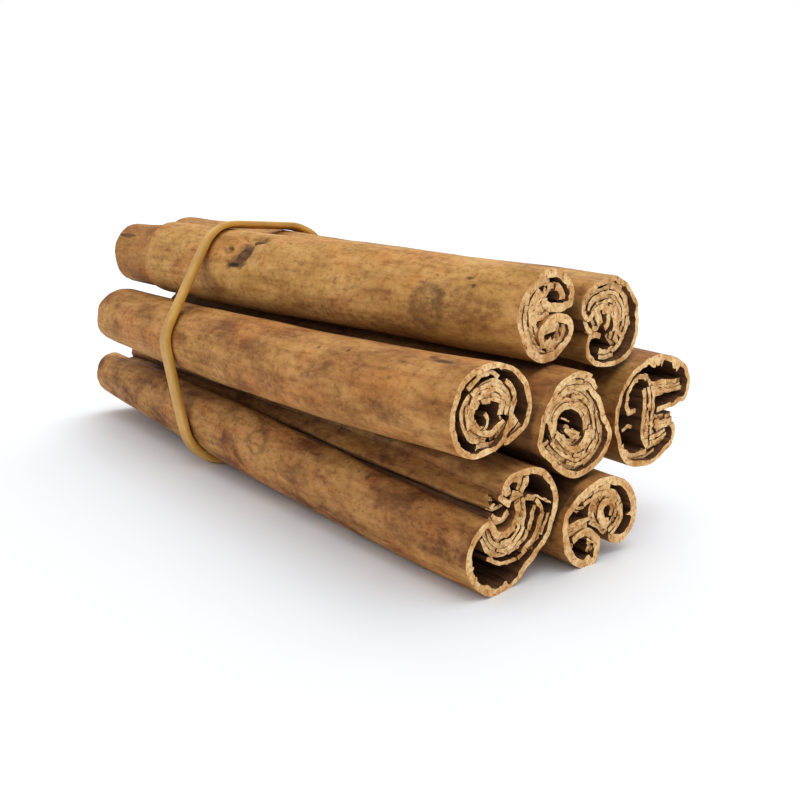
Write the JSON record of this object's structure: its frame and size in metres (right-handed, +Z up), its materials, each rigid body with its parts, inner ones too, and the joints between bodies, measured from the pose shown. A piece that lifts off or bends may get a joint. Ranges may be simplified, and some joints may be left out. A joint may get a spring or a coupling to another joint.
{
  "type": "bundle of cinnamon sticks",
  "caption": "Bundle of cinnamon quills: sheets of dried bark rolled into scrolls, cut to length and held together by a flat rubber band.",
  "frame": {"origin": "on the ground, under the middle of the bundle", "axes": "+X along the quills, towards the ends that are cut level; +Y across the bundle; +Z up"},
  "size_m": [0.0884, 0.034, 0.0301],
  "materials": {
    "bark_top_left": "dry smooth bark, matt",
    "bark_top_right": "dry bark, matt",
    "bark_middle_right": "dry bark, matt",
    "bark_centre": "dry bark, matt",
    "bark_middle_left": "dry mottled bark, matt",
    "bark_bottom_left": "dry mottled bark, matt",
    "bark_bottom_right": "dry bark, matt",
    "natural_rubber": "satin natural rubber"
  },
  "bodies": {
    "root": {"stick_top_left": "bark_top_left", "stick_top_right": "bark_top_right", "stick_middle_right": "bark_middle_right", "stick_centre": "bark_centre", "stick_middle_left": "bark_middle_left", "stick_bottom_left": "bark_bottom_left", "stick_bottom_right": "bark_bottom_right", "rubber_band": "natural_rubber"}
  },
  "joints": []
}
